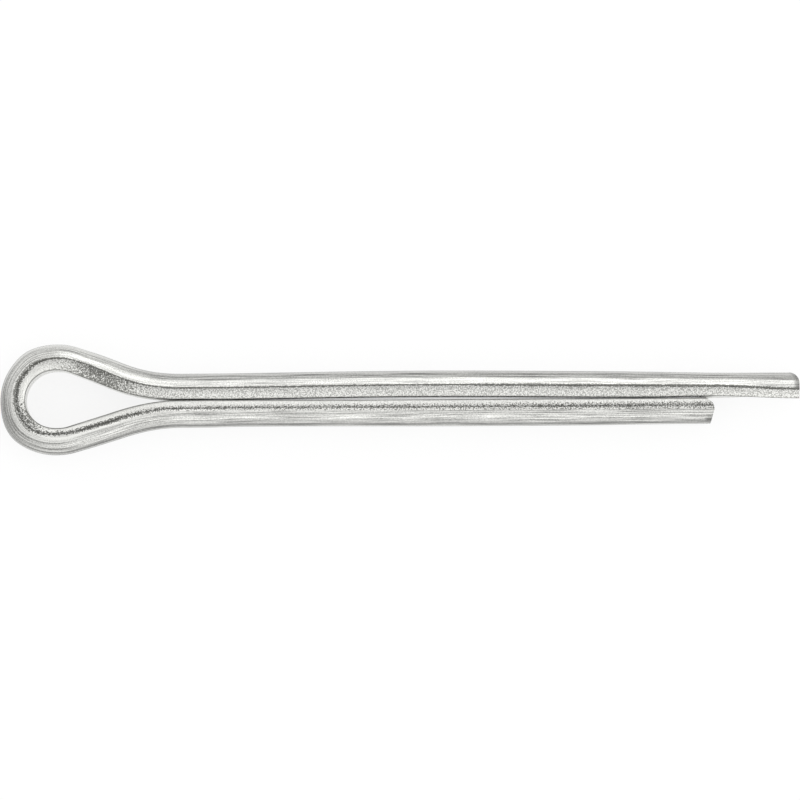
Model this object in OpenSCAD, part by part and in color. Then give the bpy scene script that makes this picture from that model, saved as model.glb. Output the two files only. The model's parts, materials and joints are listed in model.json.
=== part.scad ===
// Cotter pin of the extended-prong kind, in millimetres.
//
// One wire is folded back on itself. The fold is opened into an eye, and the two legs lie face to face, so that
// together they make a round shank. Each side comes straight down a flank from the eye, and bends back in the
// neck to run along the shank.
//
// The pin lies flat. +X runs along the shank to the tips, Y lies across the two legs, and +Z is up, along the
// width of the wire. The origin is on the shank's axis, where its straight part starts.

/* [Shank] */
// Diameter of the round shank that the two legs make together
shank_d = 3; // [2.4:0.05:3.6]
// Length under the eye, from the edge of the hole that stops it to the tip of the short leg
length = 31.7; // [16:0.05:60]
// How far the long leg reaches past the short one
prong_extension = 4.7; // [1.6:0.1:8]
// Gap between the flat faces of the two legs
leg_gap = 0.1; // [0.04:0.01:0.3]
// Clearance between the shank and the hole that the pin is made for, as a difference of their diameters
hole_clearance = 0.57; // [0.2:0.01:0.8]

/* [Wire] */
// Width of the flat face that each leg turns to the other
flat_w = 2.1; // [0.6:0.05:2.2]
// Angle at the shank's axis from a leg's flat side up to the crease, where the bevel meets the round back
crease_angle = 22.5; // [16:0.5:30]

/* [Eye] */
// Outer diameter of the eye
eye_d = 6.2; // [5.1:0.05:9]
// Slope of the flanks that run from the eye to the neck, from the shank's axis
flank_angle = 17.5; // [12:0.5:26]
// Radius of the neck's outer surface, where the flanks bend back into the shank
neck_r = 8.8; // [3:0.2:12]
// How much fuller the wire is in the neck's bend than along the straights, all round
neck_swell = 0.004; // [0.002:0.001:0.02]

/* [Tips] */
// Radius that the shears roll on the corner where they enter each leg
tip_round = 0.65; // [0.2:0.05:0.8]
// Angle at which the rolled corner leaves the side of the leg
tip_entry_angle = 25; // [10:1:45]
// Angle by which the long leg's sheared face leans back
long_tip_lean = 1; // [0:1:20]
// Angle by which the short leg's sheared face leans back
short_tip_lean = 12; // [0:1:20]

/* [Hidden] */
$fn = 96;

shank_r = shank_d / 2;
flat_y = leg_gap / 2;
crease_y = shank_r * sin(crease_angle);
crease_z = shank_r * cos(crease_angle);
bevel_slope = (crease_z - flat_w / 2) / (crease_y - flat_y);

// The section is carried along the centre line of the wire's round back. That path is the shank's axis along
// the legs, and it runs at these radii about the centres of the eye and of the neck's bend.
eye_path_r = eye_d / 2 - shank_r;
neck_path_r = neck_r + shank_r;

// The neck's bend starts at the shank and ends here. The flank is then as long as it takes to reach the eye,
// whose centre lies on the shank's axis.
neck_end_x = -neck_path_r * sin(flank_angle);
neck_end_y = neck_path_r * (1 - cos(flank_angle));
flank_len = (eye_path_r * cos(flank_angle) - neck_end_y) / sin(flank_angle);

// The pin goes in until it is as wide as its hole, and its length counts from there. That is on the neck's bend
// or, where the bend doesn't rise so far, on the flank.
seat_rise = hole_clearance / 2;
neck_rise = neck_r * (1 - cos(flank_angle));
seat_on_neck_x = -neck_r * sin(acos(max(1 - seat_rise / neck_r, cos(flank_angle))));
seat_x = seat_on_neck_x - max(seat_rise - neck_rise, 0) / tan(flank_angle);
short_tip_x = seat_x + length;
long_tip_x = short_tip_x + prong_extension;

// How far a cutting shape reaches past what it cuts
over = 1;

// How far the straights run into the neck's bend, within its fuller section, so that they are one piece
lap = 0.05;

// Section of the wire on its path, with the round back towards +X and the width along Y. It is the share of the
// shank's full circle that lies above the flat face and between the two bevels. Swell moves all its sides out.
module wire_section(swell = 0) {
    flat_x = flat_y - swell;
    back_x = shank_r + over;
    back_half_w = flat_w / 2 + (back_x - flat_x) * bevel_slope;
    intersection() {
        circle(r = shank_r + swell);
        polygon([
            [flat_x, -flat_w / 2],
            [back_x, -back_half_w],
            [back_x, back_half_w],
            [flat_x, flat_w / 2],
        ]);
    }
}

// A straight stretch of the wire from one X to another, with its round back towards +Y
module straight(from_x, to_x) {
    translate([from_x, 0, 0])
        rotate([90, 0, 90])
            linear_extrude(to_x - from_x)
                wire_section();
}

// Puts one side of the pin above the shank's axis, or turned over to lie below it
module on_side(side) {
    rotate([side > 0 ? 0 : 180, 0, 0])
        children();
}

// The bend of one side in the neck, between its flank and the shank, with the wire's round back inwards
module neck() {
    translate([0, neck_path_r, 0])
        rotate_extrude(start = 270 - flank_angle, angle = flank_angle)
            translate([neck_path_r, 0])
                mirror([1, 0])
                    wire_section(neck_swell);
}

// The straight flank of one side, and its half of the eye. The bend of the eye goes on past the middle of its
// back, and is cut off on the shank's axis, where the two halves meet.
module flank_and_half_eye() {
    past_middle = 5;
    head_reach = flank_len + eye_d - neck_end_x;
    intersection() {
        translate([neck_end_x, neck_end_y, 0])
            rotate(-flank_angle) {
                straight(-flank_len, lap);
                translate([-flank_len, -eye_path_r, 0])
                    rotate_extrude(start = 90, angle = 90 + flank_angle + past_middle)
                        translate([eye_path_r, 0])
                            wire_section();
            }
        translate([-head_reach, 0, -shank_r])
            cube([head_reach, eye_d, shank_d]);
    }
}

// Outline of a leg from the neck to its tip, seen along the wire's width. The shears enter from +Y, so the upper
// corner is rolled over, and the face below it leans back to a sharp lower corner.
module sheared_outline(tip_x, lean, upper_y, lower_y) {
    roll_x = tip_x - tip_round;
    roll_y = upper_y - tip_round * cos(tip_entry_angle);
    polygon([
        [-over, upper_y + over],
        [-over, lower_y - over],
        [tip_x - (roll_y - lower_y + over) * tan(lean), lower_y - over],
        [tip_x, roll_y],
        [roll_x, roll_y],
        [roll_x, upper_y + over],
    ]);
    translate([roll_x, roll_y])
        circle(r = tip_round);
}

// The straight part of one leg, from the neck to its sheared tip
module leg(side, tip_x, lean) {
    intersection() {
        on_side(side)
            straight(-lap, tip_x);
        translate([0, 0, -shank_r])
            linear_extrude(shank_d)
                sheared_outline(
                    tip_x,
                    lean,
                    side > 0 ? shank_r : -flat_y,
                    side > 0 ? flat_y : -shank_r
                );
    }
}

// The whole pin, as one wire
module cotter_pin() {
    color("silver")
        union() {
            leg(1, long_tip_x, long_tip_lean);
            leg(-1, short_tip_x, short_tip_lean);
            for (side = [1, -1])
                on_side(side) {
                    neck();
                    flank_and_half_eye();
                }
        }
}

cotter_pin();
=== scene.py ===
# %% [markdown]
# # Cotter pin
#
# A cotter pin is one piece of half-round steel wire, folded back on itself. The fold is opened into an eye,
# and the two legs lie with their flat faces together, so that they make a round shank. This lesson builds
# one as a single mesh that follows the wire, gives it a zinc-plated finish, and lights it as a small bright
# metal part.
#
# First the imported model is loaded. It is the fixed frame: it says how big the pin is and where it lies, and
# its box is kept, so that the finished mesh can be compared with it at the end.

# %% load the frame
import json
import math

import bpy
import numpy as np
from mathutils import Matrix, Vector


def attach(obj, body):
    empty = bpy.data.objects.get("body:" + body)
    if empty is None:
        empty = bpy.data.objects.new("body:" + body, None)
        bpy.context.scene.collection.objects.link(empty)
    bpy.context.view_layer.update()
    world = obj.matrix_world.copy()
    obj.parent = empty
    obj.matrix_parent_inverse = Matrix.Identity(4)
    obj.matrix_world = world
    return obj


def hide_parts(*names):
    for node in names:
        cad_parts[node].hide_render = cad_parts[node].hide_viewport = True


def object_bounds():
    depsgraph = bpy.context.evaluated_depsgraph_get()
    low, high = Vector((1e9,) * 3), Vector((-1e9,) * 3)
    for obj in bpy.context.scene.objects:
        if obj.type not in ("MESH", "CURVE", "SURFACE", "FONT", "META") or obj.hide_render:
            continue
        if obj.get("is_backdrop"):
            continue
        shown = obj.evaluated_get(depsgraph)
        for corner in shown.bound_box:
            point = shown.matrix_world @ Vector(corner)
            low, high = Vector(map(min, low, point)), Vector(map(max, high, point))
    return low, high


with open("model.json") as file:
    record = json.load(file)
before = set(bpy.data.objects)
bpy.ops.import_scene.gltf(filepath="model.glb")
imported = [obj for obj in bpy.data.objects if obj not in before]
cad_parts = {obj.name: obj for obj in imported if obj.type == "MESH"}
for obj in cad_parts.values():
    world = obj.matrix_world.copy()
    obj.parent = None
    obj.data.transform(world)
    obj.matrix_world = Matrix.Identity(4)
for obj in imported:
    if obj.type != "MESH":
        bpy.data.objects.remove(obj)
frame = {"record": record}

cad_low, cad_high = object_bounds()
MM = 0.001
SHANK_R = frame["record"]["mounts"][0]["dims"]["r_mm"]
EYE_BACK_X, LONG_TIP_X = cad_low[0] / MM, cad_high[0] / MM
print(f"shank radius {SHANK_R} mm, from x = {EYE_BACK_X:.2f} to {LONG_TIP_X:.2f} mm")

# %% [markdown]
# ## The path of the wire
#
# The wire could be drawn as a Bezier curve, but its bends are known sizes, so it is easier to walk along it.
# At each small step the wire has a heading. It turns at a steady rate in the eye, keeps straight down the
# flank, turns back in the neck, and then runs along the shank. Adding up the steps gives the path. A short
# moving average of the heading eases each straight into its bend, as in bent wire.
#
# All lengths are in millimetres until the mesh is made. The path is the centre line of the wire's round
# back.

# %% sizes of the path
PATH_STEP = 0.01
STEPS_EACH_WAY = 5000
EYE_OUTER_R, NECK_OUTER_R = 3.075, 9.5
EYE_R, NECK_R = EYE_OUTER_R - SHANK_R, NECK_OUTER_R + SHANK_R
EYE_STRETCH = 0.2
FLANK_ANGLE = math.radians(19.0)
EASE_LENGTH = 0.6
PRONG_EXTENSION = 4.7
SHORT_TIP_X = LONG_TIP_X - PRONG_EXTENSION


def heading_of(arc, flank_length):
    """Heading of the wire at each arc length from the back of the eye, in radians. It is 270 degrees there,
    and on either side it turns by a quarter, then by the flank angle more, and back by that angle in the
    neck."""
    lengths = [EYE_R * math.pi / 2, EYE_STRETCH, EYE_R * FLANK_ANGLE, flank_length, NECK_R * FLANK_ANGLE]
    turns = [math.pi / 2, 0, FLANK_ANGLE, 0, -FLANK_ANGLE]
    turned = np.interp(np.abs(arc), np.cumsum([0] + lengths), np.cumsum([0] + turns))
    heading = 1.5 * math.pi + np.sign(arc) * turned
    window = np.hanning(int(EASE_LENGTH / PATH_STEP) | 1)
    padded = np.pad(heading, len(window) // 2, mode="edge")
    return np.convolve(padded, window / window.sum(), mode="valid")


def walk(arc, heading):
    """Points of the path: running sums of the steps' cosines and sines, starting at the back of the eye."""
    start = int(np.argmin(np.abs(arc)))
    steps = PATH_STEP * np.stack([np.cos(heading), np.sin(heading)], axis=1)
    points = np.cumsum(steps, axis=0)
    return points - points[start] + [EYE_BACK_X + SHANK_R, 0]


print(f"the path bends at {EYE_R:.3f} mm in the eye and at {NECK_R:.1f} mm in the neck")

# %% [markdown]
# The flank has to be just long enough for the legs to end on the shank's axis. Its length is first worked
# out for sharp changes of heading. Then the path is walked a few times, and each time the flank is corrected
# by how far the legs missed the axis.

# %% walk the path
CORRECTIONS = 4
arc = PATH_STEP * np.arange(-STEPS_EACH_WAY, STEPS_EACH_WAY + 1)
flank_length = (EYE_R * math.cos(FLANK_ANGLE) - NECK_R * (1 - math.cos(FLANK_ANGLE))) / math.sin(FLANK_ANGLE)
for _ in range(CORRECTIONS):
    heading = heading_of(arc, flank_length)
    path = walk(arc, heading)
    flank_length += (path[0, 1] - path[-1, 1]) / 2 / math.sin(FLANK_ANGLE)
path[:, 1] -= (path[0, 1] + path[-1, 1]) / 2
print(f"flank {flank_length:.3f} mm, legs end {path[0, 1]:.4f} and {path[-1, 1]:.4f} mm from the axis")

# %% [markdown]
# ## Stations along the wire
#
# The mesh needs a section of the wire at many places along the path. The eye and the neck bend, so they get
# stations closer together than the straight legs do. A station is an arc length from the back of the eye:
# below zero on the side of the long leg, and above zero on the side of the short one.

# %% stations
HEAD_SPACING = 0.125
LEG_SPACING = 0.17
HEAD_END_X = 1.0
# Past this arc length each side is in its neck or leg, where X only grows
LEG_ARC = 8


def spaced(start, end, spacing):
    """Arc lengths from start up to end, without end, in equal steps close to spacing."""
    return np.linspace(start, end, max(int(round((end - start) / spacing)), 1), endpoint=False)


def arc_at_x(x, side):
    """Arc length at which one leg reaches an X. Side is -1 for the long leg and 1 for the short one."""
    on_leg = arc * side > LEG_ARC
    order = np.argsort(path[on_leg, 0])
    return float(np.interp(x, path[on_leg, 0][order], arc[on_leg][order]))


long_end, short_end = arc_at_x(LONG_TIP_X, -1), arc_at_x(SHORT_TIP_X, 1)
long_neck, short_neck = arc_at_x(HEAD_END_X, -1), arc_at_x(HEAD_END_X, 1)
stations = np.concatenate([
    spaced(long_end, long_neck, LEG_SPACING),
    spaced(long_neck, short_neck, HEAD_SPACING),
    spaced(short_neck, short_end, LEG_SPACING),
    [short_end],
])
on_long, on_short = stations < 0, stations > 0
print(f"{len(stations)} stations over {short_end - long_end:.1f} mm of wire")

# %% [markdown]
# ## Small irregularities
#
# A real pin isn't perfect, and each way in which it isn't is a small gentle change along the wire. Two
# shapes make all of them: a ramp, which goes smoothly from 0 to 1, and a bump, which rises and falls again.
# Both take their place and length, so that each change can be seen and altered on its own.

# %% ramps and bumps
def smooth_step(t):
    """0 below 0 and 1 above 1, with 3t^2 - 2t^3 between them."""
    t = np.clip(t, 0, 1)
    return t * t * (3 - 2 * t)


def ramp(value, start, length):
    """0 up to start and 1 from start plus length on, with a smooth step between them."""
    return smooth_step((value - start) / length)


def rise(value, row):
    """A ramp that goes up to a height instead of 1. The row holds the height, the start and the length."""
    height, start, length = row
    return height * ramp(value, start, length)


def bump(value, middle, width):
    """A bell curve of height 1: e to the power of minus half the squared distance, counted in widths."""
    return np.exp(-0.5 * ((value - middle) / width) ** 2)


def bumps(value, rows):
    """The sum of some bumps, each of them given by its height, middle and width."""
    return sum(height * bump(value, middle, width) for height, middle, width in rows)


print("a ramp is", ramp(0.5, 0, 1), "halfway, and a bump is", round(bump(1, 0, 1), 2), "at one width")

# %% [markdown]
# The long leg bows away from the other one by a tenth of a millimetre halfway along, the eye sits a little
# to one side of the shank, and the short leg's flank bulges out a little. These move the path itself.

# %% line of the wire
LEG_BOW = 0.1
BOW_START_X, BOW_END_X = 0.0, 26.5
EYE_OFFSET, OFFSET_START, OFFSET_LENGTH = 0.083, 1.5, 4.5
FLANK_BULGE = ((0.045, -4.0, 1.4),)


def sideways(x, on_long_leg):
    """How far the path moves towards +Y at each X: the bow of the long leg, and the offset of the eye."""
    along = np.clip((x - BOW_START_X) / (BOW_END_X - BOW_START_X), 0, 1)
    bow = LEG_BOW * np.sin(math.pi * along) ** 2 * on_long_leg
    return bow + EYE_OFFSET * ramp(-x, OFFSET_START, OFFSET_LENGTH)


station_x = np.interp(stations, arc, path[:, 0])
station_y = np.interp(stations, arc, path[:, 1])
station_y += sideways(station_x, on_long)
station_y -= bumps(station_x, FLANK_BULGE) * on_short
station_heading = np.interp(stations, arc, heading)
outward = np.stack([np.sin(station_heading), -np.cos(station_heading)], axis=1)
outward_degrees = np.degrees(station_heading) - 90
print(f"the long leg stands {LEG_BOW} mm further out halfway, and the eye is {EYE_OFFSET} mm off the axis")

# %% [markdown]
# Bending and rolling also change the section from place to place. The back is fuller at two places round the
# eye, and thinner near the tips and at the start of the short leg. From the back of the eye on to the short
# leg, the wire is flatter as it lies, and the crease between bevel and back is worn and lies further in. The
# gap between the legs is a little to the short one's side of the axis, and the end of the long leg is
# twisted by a few degrees.

# %% thickness of the wire
# Bumps: rows of height in mm, middle and width, first in degrees round the eye, and then in mm along the wire
FULLER_ROUND_EYE = ((0.144, 218, 16), (0.06, 122, 10))
FULLER_ALONG = ((0.03, -4.7, 0.8), (-0.03, 3.1, 0.5))
# Ramps: the share of the depth that is missing, and the X and length over which it goes
LONG_END_THINNER, SHORT_END_THINNER = (0.08, 23, 8), (0.035, 21, 7)
SHORT_START_THINNER, SHORT_START_ENDS = (0.03, 1, 2.5), (5, 12)
FLATTER = 0.07
WEAR_START, SLOW_WEAR_LENGTH, WEAR_LENGTH = -2.6, 4.2, 1.4

fuller = bumps(outward_degrees, FULLER_ROUND_EYE) + bumps(stations, FULLER_ALONG)
depth = 1 - rise(station_x, LONG_END_THINNER) * on_long
depth -= rise(station_x, SHORT_START_THINNER) * (1 - ramp(station_x, *SHORT_START_ENDS)) * on_short
depth -= rise(station_x, SHORT_END_THINNER) * on_short
worn_slowly = ramp(stations, WEAR_START, SLOW_WEAR_LENGTH)
flatter = 1 - FLATTER * worn_slowly
print(f"the wire is up to {fuller.max():.3f} mm fuller, and down to {depth.min():.3f} of its depth")

# %% crease, flat faces and twist
CREASE_SHIFT = 0.11
CREASE_WANDERS = (
    (0.04, 2.5, 1.5), (0.05, 2.7, 0.45), (-0.05, 1.2, 0.6), (-0.05, -4.0, 1.0), (-0.04, -0.4, 0.7),
)
SHORT_FLAT, LONG_FLAT, LONG_FLAT_RETURNS = (0.03, 3, 5), (0.03, 0, 4), (1.6, 26, 3)
FLAT_WANDERS = ((0.07, 0.3, 0.9), (-0.07, -6.0, 1.3))
TIP_TWIST = math.radians(7.5)
TWIST_START_X, TWIST_LENGTH = 29.5, 4.5

worn = ramp(stations, WEAR_START, WEAR_LENGTH)
crease_shift = CREASE_SHIFT * worn_slowly + bumps(stations, CREASE_WANDERS)
flat_shift = rise(station_x, SHORT_FLAT) * on_short
flat_shift -= rise(station_x, LONG_FLAT) * (1 - rise(station_x, LONG_FLAT_RETURNS)) * on_long
flat_shift += bumps(stations, FLAT_WANDERS)
twist = TIP_TWIST * ramp(station_x, TWIST_START_X, TWIST_LENGTH)
print(f"crease moved by {crease_shift.min():.2f} to {crease_shift.max():.2f} mm, "
      f"flat faces by {flat_shift.min():.2f} to {flat_shift.max():.2f} mm")

# %% [markdown]
# ## The section of the wire
#
# The section is nearly a half circle: a flat face towards the other leg, a bevel on each side of it, and the
# round back. Where the bevel meets the back there is a crease. Drawn wire has no sharp edges, and one way to
# round a corner is to blend the shapes that make it. Each shape gives a distance, below zero inside it, and
# the section is where a soft maximum of those distances is zero. How soft it is sets how round the edges
# are, and here it changes along the wire: the crease is crisp on the long leg, and worn round on the short
# one.
#
# In the section the first coordinate points out, away from the other leg, and the second one points up.

# %% the section's shapes
FLAT_Y = 0.02
FLAT_HALF_W = 1.12
CREASE_ANGLE = math.radians(26.0)
BEVEL_TURN = math.radians(10.0)
MIDDLE = np.array([0.62, 0.0])
crease = SHANK_R * np.array([math.sin(CREASE_ANGLE), math.cos(CREASE_ANGLE)])
corner = np.array([FLAT_Y, FLAT_HALF_W])
bevel_middle = (corner + crease) / 2
bevel_half = np.linalg.norm(crease - corner) / 2
bevel_along = (crease - corner) / 2 / bevel_half
bevel_out = np.array([-bevel_along[1], bevel_along[0]])
bevel_rise = bevel_half * math.tan(BEVEL_TURN) / 2


def bevel_distance(points, side):
    """Distance of points outside one bevel, and its slope. The bevel is a parabola over the line from the
    flat's corner to the crease, and goes on straight past both. Side is 1 for the upper bevel and -1 for the
    lower."""
    mirror = np.array([1, side])
    offset = points * mirror - bevel_middle
    t = (offset @ bevel_along) / bevel_half
    inner = np.clip(t, -1, 1)
    drop = bevel_rise * (inner * (2 * t - inner) - 1)
    way = bevel_out + (2 * bevel_rise / bevel_half * inner)[..., None] * bevel_along
    return offset @ bevel_out + drop, way * mirror


def distances(points, bevel_shift, flat_y):
    """Distance of each point outside each of the four shapes, and the direction in which it grows: the
    circle of the round back, the two bevels, and the flat face."""
    from_axis = np.linalg.norm(points, axis=-1)
    upper, upper_way = bevel_distance(points, 1)
    lower, lower_way = bevel_distance(points, -1)
    flat_way = np.broadcast_to([-1.0, 0.0], points.shape)
    values = [from_axis - SHANK_R, upper - bevel_shift, lower - bevel_shift, flat_y - points[..., 0]]
    ways = [points / from_axis[..., None], upper_way, lower_way, flat_way]
    return np.stack(values, axis=-1), np.stack(ways, axis=-2)


print(f"each bevel is {2 * bevel_half:.2f} mm wide and rises {bevel_rise:.3f} mm in its middle")

# %% the section along rays
START_REACH = 2.2
NEWTON_ROUNDS = 14


def wire_section(rays, softness, bevel_shift, flat_y):
    """Points, normals and shape weights of the section for each station and each ray from the wire's middle.
    The soft maximum is softness times the logarithm of the sum of e to the power of each distance over
    softness. Its zero along a ray is found by Newton's method, starting outside."""
    reach = np.full((len(softness), len(rays)), START_REACH)
    direction = np.stack([np.cos(rays), np.sin(rays)], axis=-1)
    soft = softness[:, None, None]
    for _ in range(NEWTON_ROUNDS):
        points = MIDDLE + reach[..., None] * direction
        values, ways = distances(points, bevel_shift[:, None], flat_y[:, None])
        highest = values.max(axis=-1, keepdims=True)
        share = np.exp((values - highest) / soft)
        total = share.sum(axis=-1, keepdims=True)
        level = (highest + soft * np.log(total))[..., 0]
        share = share / total
        normal = (share[..., None] * ways).sum(axis=-2)
        reach = reach - level / (normal * direction).sum(axis=-1)
    return points, normal / np.linalg.norm(normal, axis=-1, keepdims=True), share


print(f"{NEWTON_ROUNDS} rounds of Newton's method for each ray")

# %% rays round the section
RAY_COUNT = 168
TRIAL_RAYS = 4001
TRIAL_SOFTNESS = 0.02
FLAT_THINNING = 0.62
CREASE_CROWDING = 4


def even_rays(count):
    """Angles of rays that meet the section at equal steps round it, starting on the flat face. A step counts
    for less on the flat face, which the other leg hides, and for more at the creases."""
    fine = np.linspace(-math.pi, math.pi, TRIAL_RAYS)
    points, _, share = wire_section(fine, np.array([TRIAL_SOFTNESS]), np.zeros(1), np.array([FLAT_Y]))
    step = np.linalg.norm(np.diff(points[0], axis=0), axis=1)
    share = share[0, :-1]
    weight = 1 - FLAT_THINNING * share[:, 3] + CREASE_CROWDING * share[:, 0] * (share[:, 1] + share[:, 2])
    travelled = np.concatenate([[0], np.cumsum(step * weight)])
    return np.interp(np.linspace(0, travelled[-1], count, endpoint=False), travelled, fine)


rays = even_rays(RAY_COUNT)
print(f"{len(rays)} points round the section")

# %% sections at all stations
CRISP_EDGE, WORN_SOFTER = 0.006, 0.010
softness = CRISP_EDGE + WORN_SOFTER * worn
points, normals, share = wire_section(rays, softness, crease_shift, FLAT_Y + flat_shift)
step = np.linalg.norm(np.roll(points, -1, axis=1) - points, axis=-1)
around = np.cumsum(step, axis=1) - step
period = float(step.sum(axis=1).mean())
around = around / step.sum(axis=1, keepdims=True) * period
along = np.broadcast_to((stations - stations[0])[:, None], around.shape)
on_back, on_flat = share[..., 0], share[..., 3]
on_bevel = share[..., 1] + share[..., 2]
values, _ = distances(points, crease_shift[:, None], (FLAT_Y + flat_shift)[:, None])
from_back, from_flat = values[..., 0], values[..., 3]
from_bevel = values[..., 1:3].max(axis=-1)
print(f"the section is {period:.2f} mm round, and {on_bevel.mean():.0%} of its points are on the bevels")

# %% [markdown]
# ## Painted shade in the crease and at the parting corner
#
# The crease gets painted shade: a rough dark band, laid on in specks. The band is narrow on the long leg, and
# wide where the crease is worn. The corner between the bevel and the flat face is the parting line of the two
# legs, and it gets painted shade as well, for the gap between them. Both are found from the distances: on the
# crease a point is as far from the back as from the bevel, and on the corner it is as far from the flat face
# as from the bevel. A bell curve of the difference gives a band with soft edges, and the fourth power gives
# one with a flat top.

# %% crease and corner
# Ramps are rows of height, start and length, and bumps are rows of height, middle and width, all in mm
CREASE_WIDTH, WORN_WIDER = 0.032, 0.055
ENDS_WIDER, SHORT_WIDER = (0.02, 12, 12), (0.018, 3, 6)
CREASE_WIDER = ((0.02, -0.2, 1.1),)
CREASE_STRENGTH, WORN_WEAKER = 1.15, 0.6
SHORT_END_STRONGER = (0.12, 16, 6)
CREASE_STRONGER = ((0.55, -0.7, 1.0), (0.15, 1.2, 0.8), (0.5, 5.2, 1.6))
CORNER_WIDTH, SHORT_CORNER_WIDER = 0.05, 0.015
CORNER_WIDER = ((0.035, 5.0, 2.0),)

crease_width = CREASE_WIDTH + WORN_WIDER * worn + bumps(stations, CREASE_WIDER)
crease_width += rise(station_x, ENDS_WIDER) + rise(station_x, SHORT_WIDER) * on_short
crease_strength = CREASE_STRENGTH - WORN_WEAKER * worn + bumps(stations, CREASE_STRONGER)
crease_strength += rise(station_x, SHORT_END_STRONGER) * on_short
corner_width = CORNER_WIDTH + SHORT_CORNER_WIDER * on_short + bumps(stations, CORNER_WIDER)
# Painted shade: a dark band in the crease, and another at the parting corner, in the gap between the legs
on_crease = crease_strength[:, None] * np.exp(-((from_back - from_bevel) / crease_width[:, None]) ** 4)
on_corner = np.exp(-((from_flat - from_bevel) / corner_width[:, None]) ** 2)
print(f"the crease reaches to a difference of {crease_width.min():.3f} to {crease_width.max():.3f} mm")

# %% [markdown]
# ## Relief
#
# The drawing die leaves fine lines along the round back, and rolling and bending leave the bevels uneven.
# The larger part of this is modelled, a few thousandths of a millimetre high, because metal shows every
# slope. Random heights on a lattice, blended smoothly, are enough: stretched along the wire they make drawn
# lines, and on a nearly square lattice they make dents.

# %% random heights
TABLE_ROWS, FIRST_ROW = 2048, 1000
FEWEST_COLUMNS = 3


def lattice_noise(height, pitches, seed):
    """Smooth random heights over the wire, from minus height to height. Each point blends the four nearest
    numbers of a random table with the weights 3t^2 - 2t^3. Pitches are the table's steps along and round the
    wire, in mm. The table repeats round the wire, so that the heights meet."""
    columns = max(int(round(period / pitches[1])), FEWEST_COLUMNS)
    u = along / pitches[0] + FIRST_ROW
    v = around / period * columns
    i, j = np.floor(u).astype(int), np.floor(v).astype(int)
    table = np.random.default_rng(seed).uniform(-1, 1, (TABLE_ROWS, columns))
    a, b = smooth_step(u - i), smooth_step(v - j)
    this_row, next_row = i % TABLE_ROWS, (i + 1) % TABLE_ROWS
    this_column, next_column = j % columns, (j + 1) % columns
    near = table[this_row, this_column] * (1 - b) + table[this_row, next_column] * b
    far = table[next_row, this_column] * (1 - b) + table[next_row, next_column] * b
    return height * (near * (1 - a) + far * a)


print(f"each random table has {TABLE_ROWS} rows along the wire")

# %% uneven thickness, lines and dents
# Each row is a height in mm, the pitches along and round the wire in mm, and a seed
LONG_RIDGES = (0.0025, (7.0, 0.16), 1)
SHORT_RIDGES = (0.0012, (2.6, 0.08), 2)
BEVEL_DENTS = (0.004, (0.55, 0.22), 3)
CREASE_DENTS = (0.008, (0.5, 0.6), 4)

points[..., 0] += fuller[:, None] * smooth_step(points[..., 0] / SHANK_R)
points[..., 1] *= flatter[:, None]
points[..., 0] *= depth[:, None]
relief = on_back * (lattice_noise(*LONG_RIDGES) + lattice_noise(*SHORT_RIDGES))
relief += on_bevel * lattice_noise(*BEVEL_DENTS)
relief += np.minimum(on_crease, 1) * lattice_noise(*CREASE_DENTS)
print(f"lines and dents up to {np.abs(relief).max() * 1000:.1f} micrometres")

# %% [markdown]
# A few of the drawn lines are much stronger than the rest, and run for the whole length of a leg. Each is a
# shallow groove, so it lowers the surface, and its metal is painted darker as well: partly a real drawn line,
# partly a painted dark reflection of the shade on the floor beside the pin. Its place is given in degrees,
# from the middle of the round back up. Some grooves belong to the side of the long leg and some to the other,
# and they change over at the back of the eye. On the two flanks they fade.

# %% draw marks
# Each row is the angle above the middle of the back and the width, both in degrees, and the strength
LONG_SIDE_MARKS = ((14.0, 4.5, 1.0), (29.5, 5.5, 0.75), (33.5, 1.5, 0.4), (41.0, 1.8, 0.9), (55.0, 1.2, 0.3))
SHORT_SIDE_MARKS = ((19.5, 4.5, 1.6), (34.0, 1.4, 0.4), (44.5, 1.3, 0.3), (55.5, 1.3, 0.3), (61.0, 1.4, 0.3))
MARK_LEVEL, MARK_VARIES, MARK_PITCHES = 0.9, 0.2, (4.0, period / 3)
SIDE_CHANGE, SHORT_FLANK = (-1.5, 3.0), (5.0, 2.0)
LONG_FLANK_FADE, SHORT_FLANK_FADE = (0.5, 2, 4), (0.8, 48, 8)
MARK_DEPTH = 0.004

above_back = np.degrees(np.arctan2(points[..., 1], points[..., 0]))
short_side = ramp(stations, *SIDE_CHANGE)[:, None]
long_side = 1 - short_side
short_flank = bump(stations, *SHORT_FLANK)[:, None]
# The draw marks' darkness: partly real drawn lines, partly painted dark reflection of the shade beside the pin
marks = np.zeros_like(relief)
for rows, presence in ((LONG_SIDE_MARKS, long_side), (SHORT_SIDE_MARKS, short_side)):
    for angle, width, strength in rows:
        fade = MARK_LEVEL + lattice_noise(MARK_VARIES, MARK_PITCHES, int(angle))
        marks += strength * fade * presence * bump(above_back, angle, width)
marks *= 1 - (on_long * rise(-station_x, LONG_FLANK_FADE))[:, None]
marks *= 1 - short_flank * rise(above_back, SHORT_FLANK_FADE)
marks = np.clip(marks, 0, 1) * on_back
relief -= MARK_DEPTH * marks
print(f"{len(LONG_SIDE_MARKS) + len(SHORT_SIDE_MARKS)} draw marks, {MARK_DEPTH * 1000:.0f} micrometres deep")

# %% [markdown]
# Other places get painted shade as well: the rim of each cut end, a small dent at the short tip, which is
# also pressed into the mesh, the parting corner, the outside of the eye's bend, and the flat faces, which
# see little light between the legs.

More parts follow.
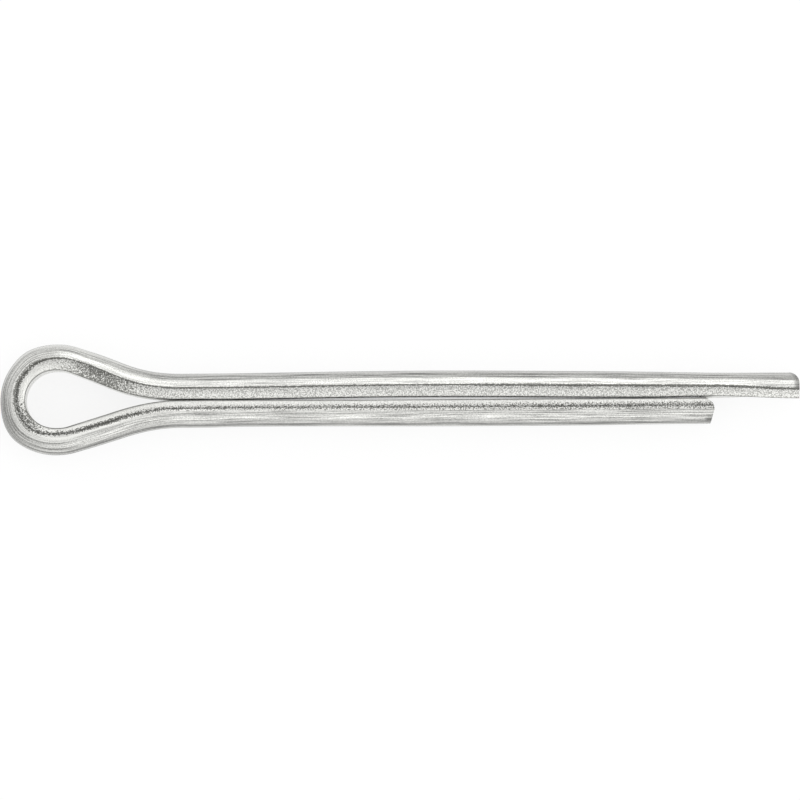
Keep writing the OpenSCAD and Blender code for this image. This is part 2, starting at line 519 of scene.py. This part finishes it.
# %% dark places
RIM_START, RIM_LENGTH = 0.11, 0.22
SHORT_BEVEL_RIM = 0.2
DENT_START, DENT_LENGTH, DENT_DEPTH = 0.2, 0.4, 0.05
DENT_ANGLE, DENT_WIDTH = 24, 15
EYE_SHADE_MIDDLE, EYE_SHADE_WIDTH, EYE_SHADE_EDGE = 197, 42, (35, 25)
BETWEEN_START, BETWEEN_END = 2, 1.5
# How strong the painted shade is at the corner, the rims, the dent, the eye's outside and between the legs
CORNER_DARK, RIM_DARK, DENT_DARK, EYE_SHADE_DARK, BETWEEN_DARK = 1.3, 1.1, 1.2, 0.95, 1.4

from_tip = np.minimum(stations - stations[0], stations[-1] - stations)[:, None]
# Painted shade along the rim of each cut end
rim = 1 - ramp(from_tip, RIM_START, RIM_LENGTH)
rim = rim * (on_back * long_side + SHORT_BEVEL_RIM * on_bevel * short_side)
# A real dent at the short tip, whose colour also gets painted shade
dent = 1 - ramp(from_tip, DENT_START, DENT_LENGTH)
dent = dent * bump(above_back, DENT_ANGLE, DENT_WIDTH) * short_side
relief -= DENT_DEPTH * dent
# Painted shade on the outside of the eye's bend
eye_shade = bump(outward_degrees, EYE_SHADE_MIDDLE, EYE_SHADE_WIDTH)[:, None] * (1 - ramp(np.abs(above_back), *EYE_SHADE_EDGE))
# Painted shade on the flat faces between the legs
between_legs = ramp(station_x, 0, BETWEEN_START) * ramp(SHORT_TIP_X - station_x, 0, BETWEEN_END)
between_legs = between_legs[:, None]
# All the painted shade, with the darkness of the draw marks, in one value for each point
marks = np.maximum.reduce([
    marks, CORNER_DARK * on_corner, RIM_DARK * rim, DENT_DARK * dent, EYE_SHADE_DARK * eye_shade,
    BETWEEN_DARK * on_flat * between_legs,
])
print(f"{(marks > 0.5).mean():.0%} of the points are darkened by half or more")

# %% [markdown]
# A band up the round back, a few lines along it and stretches of the bevels get a painted highlight, an even
# pale grey. In two short stretches the bevel is speckled like the crease.

# %% painted highlights and speckled places
# Each row is a strength, a middle and a width, along the wire in mm or, for a line, in degrees up the back
BRIGHT_BEVELS = ((0.85, 1.5, 1.6), (0.85, 5.0, 1.8), (0.75, -1.1, 1.2))
BRIGHT_SHORT_BEVEL = (0.6, 6, 3)
LONG_SIDE_LINE, SHORT_SIDE_LINE, SHORT_FLANK_LINE = ((0.7, 21, 2.6),), ((0.6, 66, 3.5),), ((0.5, 62, 3),)
BRIGHT_BACK, BACK_STARTS, BACK_FADES, BACK_EDGE = 0.25, (4, 3), (0.6, 15, 12), (43, 5)
SPECKLED_BEVELS = ((0.85, -5.1, 1.5), (0.8, 1.0, 0.6))
FLAT_IS_ROLLED = 0.7

# Painted highlights: stretches of the bevels, a band up the round back and a few lines along it
bright_bevel = bumps(stations, BRIGHT_BEVELS) + rise(stations, BRIGHT_SHORT_BEVEL)
bright_back = (ramp(-stations, *BACK_STARTS) * (1 - rise(station_x, BACK_FADES)))[:, None]
bright_back = bright_back * ramp(above_back, *BACK_EDGE) * (above_back < 90)
bright_line = bumps(above_back, LONG_SIDE_LINE) * long_side + bumps(above_back, SHORT_SIDE_LINE) * short_side
bright_line += bumps(above_back, SHORT_FLANK_LINE) * short_flank
# All the painted highlight, in one value for each point
highlighted = bright_bevel[:, None] * on_bevel + (BRIGHT_BACK * bright_back + bright_line) * on_back
# Specks: the crease's painted shade, and two stretches of bevel that are speckled like it
speckled = np.maximum(on_crease, bumps(stations, SPECKLED_BEVELS)[:, None] * on_bevel)
rolled = on_bevel + FLAT_IS_ROLLED * on_flat * (1 - between_legs)
print(f"{(highlighted > 0.5).mean():.0%} of the points are burnished, {(speckled > 0.5).mean():.0%} are worked")

# %% [markdown]
# The relief moves each point along the section's normal. Then the sections near the long tip are turned in
# their own planes, by the sine and cosine of the twist.

# %% apply the relief and the twist
points = points + relief[..., None] * normals
cosine, sine = np.cos(twist)[:, None], np.sin(twist)[:, None]
points = np.stack([
    points[..., 0] * cosine - points[..., 1] * sine,
    points[..., 0] * sine + points[..., 1] * cosine,
], axis=-1)
print(f"the deepest relief is {-relief.min() * 1000:.0f} micrometres, in the dent at the short tip")

# %% [markdown]
# ## Sheared tips
#
# The wire was cut by shears. They push the metal in before they cut it, which rolls the edge over on the
# side where they enter, and the cut face below it leans back a little to a sharp edge. Seen from above, the
# end of each leg is therefore a curve, and the last rows of the mesh are stretched so that they end on that
# curve. The end face is then closed with rings that shrink to one point.

# %% places in the frame
TIP_ROUND = 0.65
ENTRY_ANGLE = math.radians(15.0)


def tip_curve(y, tip_x, upper_y, lean):
    """X of the sheared end at each Y. Near the upper side it is a circle that leaves the side at the entry
    angle, and below that a straight line that leans back."""
    roll_y = upper_y - TIP_ROUND * math.cos(ENTRY_ANGLE)
    rise = np.clip(y - roll_y, 0, TIP_ROUND)
    rolled_x = tip_x - TIP_ROUND + np.sqrt(np.maximum(TIP_ROUND ** 2 - rise ** 2, 0))
    return rolled_x - np.clip(roll_y - y, 0, None) * math.tan(lean)


def to_plan(points):
    """Places the section points in the frame, in millimetres: path plus outward times the first coordinate,
    with the second one up."""
    path_points = np.stack([station_x, station_y], axis=1)
    level = path_points[:, None] + points[..., :1] * outward[:, None]
    return np.concatenate([level, points[..., 1:]], axis=-1)


body = to_plan(points)
print(f"{body.shape[0]} sections of {body.shape[1]} points")

# %% tips
TIP_REACH = 1.3
CAP_RINGS = 12
# Each tip: the order that takes its own stations first, its X, its lean and its side
TIPS = (
    (slice(None), LONG_TIP_X, math.radians(1.0), -1),
    (slice(None, None, -1), SHORT_TIP_X, math.radians(14.0), 1),
)

travel = np.array(along)
caps = []
for order, tip_x, lean, side in TIPS:
    start_x = tip_x - TIP_REACH
    rows = np.arange(len(stations))[order]
    rows = rows[(body[rows, 0, 0] > start_x) & (stations[rows] * side > 0)]
    end = body[rows[0]]
    upper_y = end[:, 1].max()
    stretch = (tip_curve(end[:, 1], tip_x, upper_y, lean) - start_x) / TIP_REACH
    moved = start_x + (body[rows, :, 0] - start_x) * stretch
    travel[rows] += (moved - body[rows, :, 0]) * side
    body[rows, :, 0] = moved
    centre_y = (end[:, 1].max() + end[:, 1].min()) / 2
    shrink = (1 - np.linspace(0, 1, CAP_RINGS + 1)[1:])[:, None]
    ring_y = centre_y + (end[:, 1] - centre_y) * shrink
    ring_z = end[:, 2] * shrink
    caps.append(np.stack([tip_curve(ring_y, tip_x, upper_y, lean), ring_y, ring_z], axis=-1))
print(f"tips at x = {body[0, :, 0].max():.2f} and {body[-1, :, 0].max():.2f} mm")

# %% [markdown]
# ## The mesh
#
# All points go into one mesh: the rows of the body, with a set of rings at each end. Each row is joined to
# the next by four-sided faces, and the last ring of each end shrinks to a single point. A face points to the
# side from which its corners run anticlockwise, and a closed mesh has a volume above zero only if its faces
# point outwards. So the volume is worked out as a test: it is the sum of the signed volumes of the
# tetrahedra from the origin to each triangle. A render alone doesn't tell, because it draws both sides of a
# face, but other programs may leave a face out where it is seen from behind.

# %% build the mesh
rows = np.concatenate([caps[0][-2::-1], body, caps[1][:-1]])
row_count, ray_count = rows.shape[:2]
poles = np.stack([caps[0][-1, 0], caps[1][-1, 0]])
vertices = np.concatenate([rows.reshape(-1, 3), poles]) * MM
index = np.arange(row_count * ray_count).reshape(row_count, ray_count)
following = np.roll(index, -1, axis=1)
quads = np.stack([index[:-1], index[1:], following[1:], following[:-1]], axis=-1).reshape(-1, 4)
first_pole = np.full(ray_count, row_count * ray_count)
last_pole = first_pole + 1
first_fan = np.stack([index[0], following[0], first_pole], axis=-1)
last_fan = np.stack([following[-1], index[-1], last_pole], axis=-1)
mesh = bpy.data.meshes.new("cotter_pin_wire")
mesh.from_pydata(vertices, [], [*quads.tolist(), *first_fan.tolist(), *last_fan.tolist()])
mesh.update()
corners = vertices[np.concatenate([quads[:, :3], quads[:, [0, 2, 3]], first_fan, last_fan])]
volume = np.einsum("ij,ij->i", corners[:, 0], np.cross(corners[:, 1], corners[:, 2])).sum() / 6
assert volume > 0, "the faces point inwards"
print(f"{len(vertices)} points, {len(corners)} triangles, volume {volume / MM ** 3:.1f} cubic mm")

# %% [markdown]
# The UV map holds the distance along the wire and round it, in millimetres, for the patterns that follow the
# wire. It could be unwrapped by hand, but the mesh was made from those two distances, so they are exact.
# Three attributes hold what the material needs at each point: how far it belongs to the back, to the
# speckled places, to the rolled ones and to the cut ends, how much painted shade it takes, and how much
# painted highlight.

# %% UV map
PAD = ((CAP_RINGS - 1, CAP_RINGS - 1), (0, 0))
map_along = np.pad(travel, PAD, mode="edge")
map_around = np.pad(around, PAD, mode="edge")
next_around = np.concatenate([map_around[:, 1:], np.full((row_count, 1), period)], axis=1)
u = np.stack([map_along[:-1], map_along[1:], map_along[1:], map_along[:-1]], axis=-1)
v = np.stack([map_around[:-1], map_around[1:], next_around[1:], next_around[:-1]], axis=-1)
fan_u = np.repeat([map_along[0, 0], map_along[-1, 0]], 3 * ray_count)
fan_v = np.concatenate([
    np.stack([map_around[0], next_around[0], map_around[0]], axis=-1).ravel(),
    np.stack([next_around[-1], map_around[-1], map_around[-1]], axis=-1).ravel(),
])
uv = np.concatenate([np.stack([u, v], axis=-1).reshape(-1, 2), np.stack([fan_u, fan_v], axis=-1)])
layer = mesh.uv_layers.new(name="wire_mm")
layer.uv.foreach_set("vector", uv.astype(np.float32).ravel())
print(f"the map is {uv[:, 0].max() - uv[:, 0].min():.1f} by {uv[:, 1].max():.1f} mm")

# %% attributes
# How much painted shade the cut ends take
CUT_TONE = 0.3


def add_attribute(name, kind, field, values):
    """Puts one value, or one row of four, on each point of the mesh."""
    attribute = mesh.attributes.new(name, kind, "POINT")
    attribute.data.foreach_set(field, values.astype(np.float32).ravel())


def with_ends(values, at_ends):
    """One value for each point of the mesh: those of the body, and the same value on all points of both
    ends."""
    padded = np.pad(values, PAD, constant_values=at_ends)
    return np.concatenate([padded.ravel(), [at_ends, at_ends]])


cut = with_ends(np.zeros_like(on_back), 1)
zone = np.stack([with_ends(on_back, 0), with_ends(speckled, 0), with_ends(rolled, 0), cut], axis=-1)
add_attribute("zone", "FLOAT_COLOR", "color", zone)
# The painted shade goes into one attribute and the painted highlight into another
add_attribute("mark", "FLOAT", "value", with_ends(marks, CUT_TONE))
add_attribute("painted_highlight", "FLOAT", "value", with_ends(highlighted, 0))
print(f"zone, mark and burnish on {len(zone)} points")

# %% [markdown]
# The mesh becomes an object in the scene. The node of the imported model that it stands for is hidden, and it
# rides on the root, since nothing in a cotter pin moves.

# %% object
SHARP_ANGLE = math.radians(50)
mesh.shade_smooth()
mesh.set_sharp_from_angle(angle=SHARP_ANGLE)
pin = bpy.data.objects.new("cotter_pin_wire", mesh)
bpy.context.scene.collection.objects.link(pin)
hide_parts("cotter_pin")
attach(pin, "root")

# %% [markdown]
# ## Bright zinc plate on drawn steel
#
# A thin layer of zinc covers the wire. It is a pale, slightly warm metal, shiny at close range, and it
# follows every line and dent of the steel below it. So the finish is one metal with a low roughness, and
# what varies is its tone, its fine relief and its roughness.

# %% helpers for materials
def linear(code):
    """Turns an sRGB colour such as "D8D8D2" into the linear one that Blender's nodes work with. A value up
    to 0.04045 is divided by 12.92. To a larger one 0.055 is added, and the sum over 1.055 is raised to
    2.4."""
    values = np.array([int(code[k:k + 2], 16) for k in (0, 2, 4)]) / 255
    low, high = values / 12.92, ((values + 0.055) / 1.055) ** 2.4
    return (*np.where(values <= 0.04045, low, high).tolist(), 1.0)


def node(tree, kind, inputs=None, **settings):
    """Adds a node to a tree. Inputs are values or other nodes' outputs, by socket name or number."""
    made = tree.nodes.new(kind)
    for name, value in settings.items():
        setattr(made, name, value)
    for key, value in (inputs or {}).items():
        if isinstance(value, bpy.types.NodeSocket):
            tree.links.new(value, made.inputs[key])
        else:
            made.inputs[key].default_value = value
    return made


print("D8D8D2 is", [round(value, 3) for value in linear("D8D8D2")[:3]], "in linear light")

# %% zinc-plated wire
zinc = bpy.data.materials.new("zinc_plated_drawn_steel")
zinc.use_nodes = True
tree = zinc.node_tree
shader = tree.nodes["Principled BSDF"]
wire_mm = node(tree, "ShaderNodeUVMap", uv_map="wire_mm").outputs["UV"]
place = node(tree, "ShaderNodeTexCoord").outputs["Object"]
zones = node(tree, "ShaderNodeAttribute", attribute_name="zone")
zone_parts = node(tree, "ShaderNodeSeparateColor", {"Color": zones.outputs["Color"]})
back, crease_zone, bevel = (zone_parts.outputs[name] for name in ("Red", "Green", "Blue"))
cut_zone = zones.outputs["Alpha"]
painted_highlight = node(tree, "ShaderNodeAttribute", attribute_name="painted_highlight").outputs["Fac"]
mark = node(tree, "ShaderNodeAttribute", attribute_name="mark").outputs["Fac"]
print(f"{zinc.name} reads one map and three attributes")

# %% [markdown]
# The die's finest lines are too many to model, so they are a stretched noise in the map of the wire. There
# are two kinds: short ones about 0.06 mm apart and 3 mm long, and long ones about 0.11 mm apart and 7 mm
# long. The long ones are dark where their noise crosses its middle value, which makes thin threads that
# wander.

# %% drawn lines
# The Mix node's two inputs are 2 and 3 where they are numbers, and 6 and 7 where they are colours. A noise
# keeps near 0.5, so a narrow range of it is stretched over all tones from dark to bright.
SHORT_LINE_SCALE, LONG_LINE_SCALE = (0.36, 18.0, 1.0), (0.14, 9.0, 1.0)
SHORT_LINE_RANGE = (0.39, 0.58)
THREAD_WIDTH, THREAD_TONE = 0.09, 0.15
LONG_LINE_SHARE = 0.3

short_place = node(tree, "ShaderNodeMapping", {"Vector": wire_mm, "Scale": SHORT_LINE_SCALE}).outputs[0]
short_lines = node(tree, "ShaderNodeTexNoise", {
    "Vector": short_place, "Scale": 1.0, "Detail": 2.0, "Roughness": 0.6,
})
long_place = node(tree, "ShaderNodeMapping", {"Vector": wire_mm, "Scale": LONG_LINE_SCALE}).outputs[0]
long_lines = node(tree, "ShaderNodeTexNoise", {
    "Vector": long_place, "Scale": 1.0, "Detail": 1.0, "Roughness": 0.5,
})
from_middle = node(tree, "ShaderNodeMath", {0: long_lines.outputs["Fac"], 1: 0.5}, operation="SUBTRACT")
from_middle = node(tree, "ShaderNodeMath", {0: from_middle.outputs[0]}, operation="ABSOLUTE")
long_tone = node(tree, "ShaderNodeMapRange", {
    "Value": from_middle.outputs[0], "From Min": 0.0, "From Max": THREAD_WIDTH, "To Min": THREAD_TONE,
})
short_tone = node(tree, "ShaderNodeMapRange", {
    "Value": short_lines.outputs["Fac"], "From Min": SHORT_LINE_RANGE[0], "From Max": SHORT_LINE_RANGE[1],
})
line_tone = node(tree, "ShaderNodeMix", {
    "Factor": LONG_LINE_SHARE, 2: short_tone.outputs[0], 3: long_tone.outputs[0],
})
for scale in (SHORT_LINE_SCALE, LONG_LINE_SCALE):
    print(f"lines {1 / scale[1]:.2f} mm apart and {1 / scale[0]:.0f} mm long")

# %% [markdown]
# The plate has a grain, finer than 0.1 mm. It is faint on the drawn back, and stronger on the bevels and the
# cut ends. Lines and grain are both too fine to be worth a mesh, so they are bump in the material.

# %% grain and fine relief
GRAIN_SCALE = 15000.0
GRAIN_RANGE = (0.38, 0.59)
GRAIN_SHARE = 0.22
GRAIN_ON_BACK = 0.25
LINE_HEIGHT, GRAIN_HEIGHT = 0.0000025, 0.000018

grain = node(tree, "ShaderNodeTexNoise", {
    "Vector": place, "Scale": GRAIN_SCALE, "Detail": 1.0, "Roughness": 0.5,
})
grain_tone = node(tree, "ShaderNodeMapRange", {
    "Value": grain.outputs["Fac"], "From Min": GRAIN_RANGE[0], "From Max": GRAIN_RANGE[1],
})
line_tone = node(tree, "ShaderNodeMix", {
    "Factor": GRAIN_SHARE, 2: line_tone.outputs[0], 3: grain_tone.outputs[0],
})
line_depth = node(tree, "ShaderNodeMath", {0: line_tone.outputs[0], 1: back}, operation="MULTIPLY")
lined = node(tree, "ShaderNodeBump", {
    "Strength": 1.0, "Distance": LINE_HEIGHT, "Height": line_depth.outputs[0],
})
rough_zone = node(tree, "ShaderNodeMath", {0: bevel, 1: cut_zone}, operation="ADD", use_clamp=True)
grain_share = node(tree, "ShaderNodeMapRange", {
    "Value": rough_zone.outputs[0], "To Min": GRAIN_ON_BACK, "To Max": 1.0,
})
grain_depth = node(tree, "ShaderNodeMath", {
    0: grain.outputs["Fac"], 1: grain_share.outputs[0],
}, operation="MULTIPLY")
grained = node(tree, "ShaderNodeBump", {
    "Strength": 1.0, "Distance": GRAIN_HEIGHT, "Height": grain_depth.outputs[0],
    "Normal": lined.outputs["Normal"],
})
print(f"full range of the lines {LINE_HEIGHT / MM:.4f} mm, and of the grain {GRAIN_HEIGHT / MM:.3f} mm")

# %% [markdown]
# The colour starts with the tone of the lines on the back, and of the grain on the bevels and cut ends.
# The painted highlights go over it in an even pale grey, then the painted shade of the draw marks and the
# other dark places in a dark one, which lets the brightest lines show through. Last come the specks, which
# paint the crease's shade and speckle two stretches of bevel: they fill a spot where its noise is lower than
# the place is speckled, so a strongly shaded crease is nearly solid and a lightly shaded one has a few spots.

# %% colour
LINE_DARK, LINE_BRIGHT = linear("6C6C6A"), linear("FEFEFA")
GRAIN_DARK, GRAIN_BRIGHT = linear("B4B4B0"), linear("FEFEFA")
# A painted highlight, a painted shade, and the specks of the crease's painted shade
HIGHLIGHT_TONE, SHADE_TONE, SPECKS = linear("FAFAF6"), linear("565654"), linear("80807C")
SPOT_SCALE = 14000.0
SPOT_RANGE = (0.36, 0.64)
SHOWS_THROUGH = 0.5
SPECK_START, SPECK_FULL = -0.04, 0.28

lined_colour = node(tree, "ShaderNodeMix", {
    "Factor": line_tone.outputs[0], 6: LINE_DARK, 7: LINE_BRIGHT,
}, data_type="RGBA")
grained_colour = node(tree, "ShaderNodeMix", {
    "Factor": grain_tone.outputs[0], 6: GRAIN_DARK, 7: GRAIN_BRIGHT,
}, data_type="RGBA")
kept_mark = node(tree, "ShaderNodeMapRange", {
    "Value": line_tone.outputs[0], "To Min": 1.0, "To Max": SHOWS_THROUGH,
})
# How much painted shade each point takes, less on the brightest lines
painted_shade = node(tree, "ShaderNodeMath", {0: mark, 1: kept_mark.outputs[0]}, operation="MULTIPLY", use_clamp=True)
spots = node(tree, "ShaderNodeTexNoise", {
    "Vector": place, "Scale": SPOT_SCALE, "Detail": 1.0, "Roughness": 0.5,
})
spot_level = node(tree, "ShaderNodeMapRange", {
    "Value": spots.outputs["Fac"], "From Min": SPOT_RANGE[0], "From Max": SPOT_RANGE[1],
})
over_level = node(tree, "ShaderNodeMath", {0: crease_zone, 1: spot_level.outputs[0]}, operation="SUBTRACT")
speck = node(tree, "ShaderNodeMapRange", {
    "Value": over_level.outputs[0], "From Min": SPECK_START, "From Max": SPECK_FULL,
})
colour = lined_colour.outputs[2]
for share_of_it, over_it in (
    (rough_zone.outputs[0], grained_colour.outputs[2]),
    (painted_highlight, HIGHLIGHT_TONE),
    (painted_shade.outputs[0], SHADE_TONE),
    (speck.outputs[0], SPECKS),
):
    colour = node(tree, "ShaderNodeMix", {
        "Factor": share_of_it, 6: colour, 7: over_it,
    }, data_type="RGBA").outputs[2]
print(f"spots about {1 / SPOT_SCALE / MM:.2f} mm apart")

# %% roughness, and into the shader
BACK_ROUGHNESS, BEVEL_ROUGHNESS = 0.16, 0.36
rough = node(tree, "ShaderNodeMapRange", {
    "Value": rough_zone.outputs[0], "To Min": BACK_ROUGHNESS, "To Max": BEVEL_ROUGHNESS,
})
tree.links.new(colour, shader.inputs["Base Color"])
tree.links.new(grained.outputs["Normal"], shader.inputs["Normal"])
tree.links.new(rough.outputs[0], shader.inputs["Roughness"])
shader.inputs["Metallic"].default_value = 1.0
mesh.materials.append(zinc)
print(f"{zinc.name}: {len(tree.nodes)} nodes")

# %% [markdown]
# ## Floor and light
#
# Bright metal shows its surroundings, so the light is mostly a matter of what stands round it: a white
# floor, a pale room, three soft boxes, and a grey card overhead. Such a card is a common help with small metal
# parts: the top of the metal reflects it, and isn't as white as the rest. The lamps and the card can't be seen
# directly.
#
# White paper would show a strong shadow beside the pin. So the floor is a mid grey, which takes only a faint
# one, and an even glow on top makes it white. Only the camera and reflections see the glow, and it lights
# nothing.

# %% floor
FLOOR_HALF = 3
FLOOR_GLOW = 0.83


def stage_plane(name, low, high, z):
    """A flat rectangle, as a mesh with one face, that belongs to the stage."""
    places = [(low[0], low[1], z), (high[0], low[1], z), (high[0], high[1], z), (low[0], high[1], z)]
    made = bpy.data.meshes.new(name)
    made.from_pydata(places, [], [(0, 1, 2, 3)])
    item = bpy.data.objects.new(name, made)
    bpy.context.scene.collection.objects.link(item)
    item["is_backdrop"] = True
    return item


def seen_directly(tree):
    """1 for rays from the camera, and for those that metal or glass sends on, and 0 for the rest."""
    light = node(tree, "ShaderNodeLightPath").outputs
    seen = light["Is Camera Ray"]
    for name in ("Is Glossy Ray", "Is Transmission Ray"):
        seen = node(tree, "ShaderNodeMath", {0: seen, 1: light[name]}, operation="MAXIMUM").outputs[0]
    return seen


floor_z = min(cad_low[2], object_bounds()[0][2])
floor = stage_plane("floor", (-FLOOR_HALF, -FLOOR_HALF), (FLOOR_HALF, FLOOR_HALF), floor_z)
paper = bpy.data.materials.new("white_paper")
paper.use_nodes = True
tree = paper.node_tree
shader = tree.nodes["Principled BSDF"]
shader.inputs["Base Color"].default_value = linear("7C7C7C")
shader.inputs["Roughness"].default_value = 1.0
shader.inputs["Specular IOR Level"].default_value = 0.0
shader.inputs["Emission Color"].default_value = (1, 1, 1, 1)
glow = node(tree, "ShaderNodeMath", {0: seen_directly(tree), 1: FLOOR_GLOW}, operation="MULTIPLY")
tree.links.new(glow.outputs[0], shader.inputs["Emission Strength"])
floor.data.materials.append(paper)
print("floor at z =", round(floor_z / MM, 3), "mm")

# %% room
ROOM_LIGHT, ROOM_SEEN = 0.9, 1.0
world = bpy.data.worlds.new("pale_room")
bpy.context.scene.world = world
world.use_nodes = True
tree = world.node_tree
background = tree.nodes["Background"]
background.inputs["Color"].default_value = (1, 1, 1, 1)
level = node(tree, "ShaderNodeMapRange", {
    "Value": seen_directly(tree), "To Min": ROOM_LIGHT, "To Max": ROOM_SEEN,
})
tree.links.new(level.outputs[0], background.inputs["Strength"])
print(f"the room lights with {ROOM_LIGHT} and is seen as {ROOM_SEEN}")

# %% [markdown]
# The soft boxes stand low, so that the sloping sides of the wire reflect them as bright streaks. The one on
# the far side starts level with the eye and stands along the legs, so the two sides of the pin differ.

# %% lamps
# Each lamp: name, azimuth, elevation, size in metres, power in watts, and the X of its near end if it has one
LAMPS = (
    ("lamp_far_side", 90, 14, (0.7, 0.19), 0.22, -0.006),
    ("lamp_near_side", -90, 7, (1.2, 0.06), 0.12, None),
    ("lamp_tip_side", 0, 30, (0.25, 0.2), 0.12, None),
)
LAMP_DISTANCE = 0.4


def soft_box(name, azimuth, elevation, size, power, from_x):
    """An area lamp that points at the pin. Azimuth counts from +X towards +Y, in degrees."""
    lamp = bpy.data.lights.new(name, "AREA")
    lamp.shape = "RECTANGLE"
    lamp.size, lamp.size_y = size
    lamp.energy = power
    item = bpy.data.objects.new(name, lamp)
    a, e = math.radians(azimuth), math.radians(elevation)
    way = Vector((math.cos(a) * math.cos(e), math.sin(a) * math.cos(e), math.sin(e)))
    item.location = Vector((middle_x, 0, 0)) + way * LAMP_DISTANCE
    if from_x is not None:
        item.location.x = from_x + size[0] / 2
    item.rotation_euler = way.to_track_quat("Z", "Y").to_euler()
    item.visible_camera = False
    bpy.context.scene.collection.objects.link(item)


middle_x = (cad_low[0] + cad_high[0]) / 2
for lamp_row in LAMPS:
    soft_box(*lamp_row)
print(f"{len(LAMPS)} lamps, {LAMP_DISTANCE} m from the pin")

# %% card
CARD_LOW, CARD_HIGH, CARD_Z = (-0.10, -0.09), (0.12, 0.10), 0.2
CARD_GLOW = 0.2
card = stage_plane("dark_card", CARD_LOW, CARD_HIGH, CARD_Z)
card_paint = bpy.data.materials.new("grey_card")
card_paint.use_nodes = True
shader = card_paint.node_tree.nodes["Principled BSDF"]
shader.inputs["Base Color"].default_value = linear("C0C0C0")
shader.inputs["Emission Color"].default_value = (1, 1, 1, 1)
shader.inputs["Emission Strength"].default_value = CARD_GLOW
card.data.materials.append(card_paint)
card.visible_camera = False
card.visible_diffuse = False
card.visible_shadow = False
print(f"card {CARD_HIGH[0] - CARD_LOW[0]:.2f} by {CARD_HIGH[1] - CARD_LOW[1]:.2f} m, {CARD_Z} m up")

# %% [markdown]
# ## Camera
#
# The camera looks almost straight down, tilted a little towards the near side, through a long lens, so that
# the pin's length fills the picture.

# %% camera
CAMERA_ELEVATION = math.radians(87.2)
CAMERA_ROLL = math.radians(-0.33)
CAMERA_DISTANCE = 0.4
PICTURE_WIDTH = 44.30 * MM
SHIFT_X, SHIFT_Y = 0.03 * MM, -0.025 * MM
camera_data = bpy.data.cameras.new("camera")
camera = bpy.data.objects.new("camera", camera_data)
bpy.context.scene.collection.objects.link(camera)
bpy.context.scene.camera = camera
camera_data.lens = camera_data.sensor_width * CAMERA_DISTANCE / PICTURE_WIDTH
back_way = Vector((0, -math.cos(CAMERA_ELEVATION), math.sin(CAMERA_ELEVATION)))
look_at = Vector((middle_x + SHIFT_X, SHIFT_Y, 0))
turn = back_way.to_track_quat("Z", "Y").to_matrix().to_4x4()
roll = Matrix.Rotation(CAMERA_ROLL, 4, "Z")
camera.matrix_world = Matrix.Translation(look_at + back_way * CAMERA_DISTANCE) @ turn @ roll
bpy.context.scene.view_settings.view_transform = "Standard"
print(f"lens {camera_data.lens:.0f} mm at {CAMERA_DISTANCE} m")

# %% [markdown]
# ## Compare
#
# The finished mesh has to match the box of the imported model, to about 3% of each side. The sizes below show the
# box of the finished mesh beside that of the imported model.

# %% compare the sizes
new_low, new_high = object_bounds()
for low, high, name in ((cad_low, cad_high, "CAD"), (new_low, new_high, "visual")):
    print(name, "box", [f"{a / MM:.3f} to {b / MM:.3f}" for a, b in zip(low, high)])
